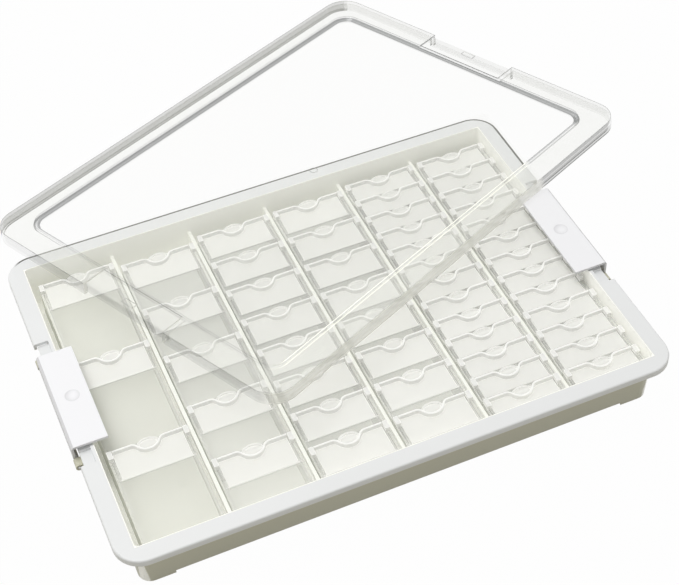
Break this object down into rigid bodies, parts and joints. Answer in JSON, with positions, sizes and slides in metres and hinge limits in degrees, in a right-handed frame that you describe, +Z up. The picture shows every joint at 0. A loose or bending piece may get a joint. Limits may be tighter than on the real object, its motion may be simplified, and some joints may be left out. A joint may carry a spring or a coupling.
{
  "type": "bead_storage_box",
  "caption": "Bead storage box: flat white tray of small clear flip-top boxes in columns, two side latches and a clear lid lying tipped across its back",
  "frame": {"origin": "Centre of the tray's flat underside; the corner feet reach 2 mm below it.", "axes": "+Z up; +X along the tray's long side, to the right seen from the front; +Y from the front to the back, where the lid lies."},
  "size_m": [0.4194, 0.426, 0.0566],
  "materials": {
    "white_plastic": "satin moulded white plastic",
    "latch_plastic": "satin moulded white plastic, slightly cooler than the tray",
    "clear_plastic": "clear moulded plastic",
    "box_plastic": "translucent moulded plastic",
    "cover_plastic": "translucent moulded plastic"
  },
  "bodies": {
    "tray_body": {"tray": "white_plastic", "latch_right": "latch_plastic", "tubs_column_1": "box_plastic", "covers_column_1": "cover_plastic", "doors_covered_1": "cover_plastic", "tubs_column_2": "box_plastic", "covers_column_2": "cover_plastic", "doors_covered_2": "cover_plastic", "tubs_column_3": "box_plastic", "covers_column_3": "cover_plastic", "doors_covered_3": "cover_plastic", "tubs_column_4": "box_plastic", "covers_column_4": "cover_plastic", "doors_covered_4": "cover_plastic", "tubs_column_5": "box_plastic", "covers_column_5": "cover_plastic", "doors_covered_5": "cover_plastic", "tubs_column_6": "box_plastic", "covers_column_6": "cover_plastic", "doors_covered_6": "cover_plastic"},
    "lid_body": {"lid": "clear_plastic"},
    "latch_left_body": {"latch_left": "latch_plastic"},
    "door_1_1_body": {"door_1_1": "cover_plastic"},
    "door_2_1_body": {"door_2_1": "cover_plastic"},
    "door_2_2_body": {"door_2_2": "cover_plastic"},
    "door_3_1_body": {"door_3_1": "cover_plastic"},
    "door_3_2_body": {"door_3_2": "cover_plastic"},
    "door_3_3_body": {"door_3_3": "cover_plastic"},
    "door_4_1_body": {"door_4_1": "cover_plastic"},
    "door_4_2_body": {"door_4_2": "cover_plastic"},
    "door_4_3_body": {"door_4_3": "cover_plastic"},
    "door_5_1_body": {"door_5_1": "cover_plastic"},
    "door_5_2_body": {"door_5_2": "cover_plastic"},
    "door_5_3_body": {"door_5_3": "cover_plastic"},
    "door_5_4_body": {"door_5_4": "cover_plastic"},
    "door_5_5_body": {"door_5_5": "cover_plastic"},
    "door_5_6_body": {"door_5_6": "cover_plastic"},
    "door_5_7_body": {"door_5_7": "cover_plastic"},
    "door_6_1_body": {"door_6_1": "cover_plastic"},
    "door_6_2_body": {"door_6_2": "cover_plastic"},
    "door_6_3_body": {"door_6_3": "cover_plastic"},
    "door_6_4_body": {"door_6_4": "cover_plastic"}
  },
  "joints": [
    {"name": "lid_lift", "type": "slide", "parent": "tray_body", "child": "lid_body", "axis": [0, 0, 1], "range_m": [0, 0.13]},
    {"name": "latch_left_hinge", "type": "hinge", "parent": "tray_body", "child": "latch_left_body", "pos_m": [-0.17131, 0, 0.0246], "axis": [0, -1, 0], "range_deg": [0, 120]},
    {"name": "door_1_1_hinge", "type": "hinge", "parent": "tray_body", "child": "door_1_1_body", "pos_m": [-0.1305, -0.0607, 0.0221], "axis": [1, 0, 0], "range_deg": [0, 95]},
    {"name": "door_2_1_hinge", "type": "hinge", "parent": "tray_body", "child": "door_2_1_body", "pos_m": [-0.0775, -0.0907, 0.0221], "axis": [1, 0, 0], "range_deg": [0, 95]},
    {"name": "door_2_2_hinge", "type": "hinge", "parent": "tray_body", "child": "door_2_2_body", "pos_m": [-0.0775, -0.0482, 0.0221], "axis": [1, 0, 0], "range_deg": [0, 95]},
    {"name": "door_3_1_hinge", "type": "hinge", "parent": "tray_body", "child": "door_3_1_body", "pos_m": [-0.0245, -0.1061, 0.0221], "axis": [1, 0, 0], "range_deg": [0, 95]},
    {"name": "door_3_2_hinge", "type": "hinge", "parent": "tray_body", "child": "door_3_2_body", "pos_m": [-0.0245, -0.079, 0.0221], "axis": [1, 0, 0], "range_deg": [0, 95]},
    {"name": "door_3_3_hinge", "type": "hinge", "parent": "tray_body", "child": "door_3_3_body", "pos_m": [-0.0245, -0.0519, 0.0221], "axis": [1, 0, 0], "range_deg": [0, 95]},
    {"name": "door_4_1_hinge", "type": "hinge", "parent": "tray_body", "child": "door_4_1_body", "pos_m": [0.0285, -0.1061, 0.0221], "axis": [1, 0, 0], "range_deg": [0, 95]},
    {"name": "door_4_2_hinge", "type": "hinge", "parent": "tray_body", "child": "door_4_2_body", "pos_m": [0.0285, -0.079, 0.0221], "axis": [1, 0, 0], "range_deg": [0, 95]},
    {"name": "door_4_3_hinge", "type": "hinge", "parent": "tray_body", "child": "door_4_3_body", "pos_m": [0.0285, -0.0519, 0.0221], "axis": [1, 0, 0], "range_deg": [0, 95]},
    {"name": "door_5_1_hinge", "type": "hinge", "parent": "tray_body", "child": "door_5_1_body", "pos_m": [0.0815, -0.1105, 0.0221], "axis": [1, 0, 0], "range_deg": [0, 85]},
    {"name": "door_5_2_hinge", "type": "hinge", "parent": "tray_body", "child": "door_5_2_body", "pos_m": [0.0815, -0.0936, 0.0221], "axis": [1, 0, 0], "range_deg": [0, 95]},
    {"name": "door_5_3_hinge", "type": "hinge", "parent": "tray_body", "child": "door_5_3_body", "pos_m": [0.0815, -0.0767, 0.0221], "axis": [1, 0, 0], "range_deg": [0, 95]},
    {"name": "door_5_4_hinge", "type": "hinge", "parent": "tray_body", "child": "door_5_4_body", "pos_m": [0.0815, -0.0598, 0.0221], "axis": [1, 0, 0], "range_deg": [0, 95]},
    {"name": "door_5_5_hinge", "type": "hinge", "parent": "tray_body", "child": "door_5_5_body", "pos_m": [0.0815, -0.0429, 0.0221], "axis": [1, 0, 0], "range_deg": [0, 95]},
    {"name": "door_5_6_hinge", "type": "hinge", "parent": "tray_body", "child": "door_5_6_body", "pos_m": [0.0815, -0.026, 0.0221], "axis": [1, 0, 0], "range_deg": [0, 95]},
    {"name": "door_5_7_hinge", "type": "hinge", "parent": "tray_body", "child": "door_5_7_body", "pos_m": [0.0815, -0.0091, 0.0221], "axis": [1, 0, 0], "range_deg": [0, 95]},
    {"name": "door_6_1_hinge", "type": "hinge", "parent": "tray_body", "child": "door_6_1_body", "pos_m": [0.1345, -0.1105, 0.0221], "axis": [1, 0, 0], "range_deg": [0, 85]},
    {"name": "door_6_2_hinge", "type": "hinge", "parent": "tray_body", "child": "door_6_2_body", "pos_m": [0.1345, -0.0936, 0.0221], "axis": [1, 0, 0], "range_deg": [0, 95]},
    {"name": "door_6_3_hinge", "type": "hinge", "parent": "tray_body", "child": "door_6_3_body", "pos_m": [0.1345, -0.0767, 0.0221], "axis": [1, 0, 0], "range_deg": [0, 95]},
    {"name": "door_6_4_hinge", "type": "hinge", "parent": "tray_body", "child": "door_6_4_body", "pos_m": [0.1345, -0.0598, 0.0221], "axis": [1, 0, 0], "range_deg": [0, 95]}
  ]
}
